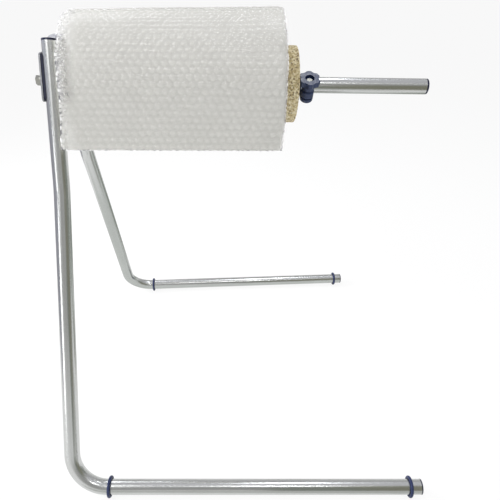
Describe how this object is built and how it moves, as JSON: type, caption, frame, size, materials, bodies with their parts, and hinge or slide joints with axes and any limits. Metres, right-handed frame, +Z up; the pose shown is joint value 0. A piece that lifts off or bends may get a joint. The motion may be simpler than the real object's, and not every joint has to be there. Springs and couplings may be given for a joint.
{
  "type": "bubble wrap dispenser",
  "caption": "Floor stand of bent steel tube that carries a roll of bubble wrap on a level spindle, held by a chipboard end disc and a screw-clamped collar.",
  "frame": {"origin": "on the floor under the middle of the stand's box", "axes": "+Z up, +X along the spindle to its free end, +Y away from the picture's camera"},
  "size_m": [0.6206, 0.679, 0.7227],
  "materials": {
    "zinc_tube": "satin",
    "zinc_plate": "satin",
    "zinc_fastener": "satin",
    "navy_cap": "satin",
    "navy_rubber": "matte",
    "navy_clamp": "satin",
    "bubble_film": "gloss",
    "card_core": "matte",
    "chipboard": "matte"
  },
  "bodies": {
    "base": {"front_leg_tube": "zinc_tube", "rear_leg_tube": "zinc_tube", "front_leg_cap": "navy_cap", "rear_leg_cap": "navy_cap", "front_foot_plug": "navy_cap", "rear_foot_plug": "navy_cap", "front_heel_ring": "navy_rubber", "front_toe_ring": "navy_rubber", "rear_heel_ring": "navy_rubber", "rear_toe_ring": "navy_rubber", "outer_clamp_plate": "zinc_plate", "outer_saddle": "navy_rubber", "inner_saddle": "navy_rubber", "inner_clamp_plate": "zinc_plate", "spacer_bush": "zinc_fastener", "spindle_bolt": "zinc_fastener", "front_leg_bolt": "zinc_fastener", "front_bolt_washer": "zinc_fastener", "front_leg_nut": "zinc_fastener", "rear_leg_bolt": "zinc_fastener", "rear_bolt_washer": "zinc_fastener", "rear_leg_nut": "zinc_fastener", "spindle_tube": "zinc_tube", "spindle_plug": "zinc_fastener", "spindle_cap": "navy_cap", "guide_washer": "navy_clamp"},
    "roll": {"roll_core": "card_core", "bubble_film": "bubble_film"},
    "collar": {"collar_clamp": "navy_clamp", "clamp_screw": "zinc_fastener"},
    "disc": {"end_disc": "chipboard"},
    "knob_seat": {"knob_washer": "zinc_fastener"},
    "knob": {"star_knob": "navy_clamp", "knob_insert": "zinc_fastener"}
  },
  "joints": [
    {"name": "roll_spin", "type": "hinge", "parent": "base", "child": "roll", "pos_m": [0, 0, 0.6141], "axis": [1, 0, 0], "continuous": true},
    {"name": "collar_slide", "type": "slide", "parent": "base", "child": "collar", "axis": [1, 0, 0], "range_m": [0, 0.188]},
    {"name": "disc_spin", "type": "hinge", "parent": "collar", "child": "disc", "pos_m": [0.076, 0, 0.6141], "axis": [1, 0, 0], "continuous": true},
    {"name": "knob_rise", "type": "slide", "parent": "collar", "child": "knob_seat", "axis": [0, -0.5, 0.866], "range_m": [0, 0.0025]},
    {"name": "knob_turn", "type": "hinge", "parent": "knob_seat", "child": "knob", "pos_m": [0.10525, -0.02078, 0.6021], "axis": [0, -0.5, 0.866], "range_deg": [0, 720]}
  ],
  "couplings": [
    {"joint": "disc_spin", "follows": "roll_spin", "ratio": 1},
    {"joint": "knob_rise", "follows": "knob_turn", "m_per_rad": 0.0001989}
  ]
}
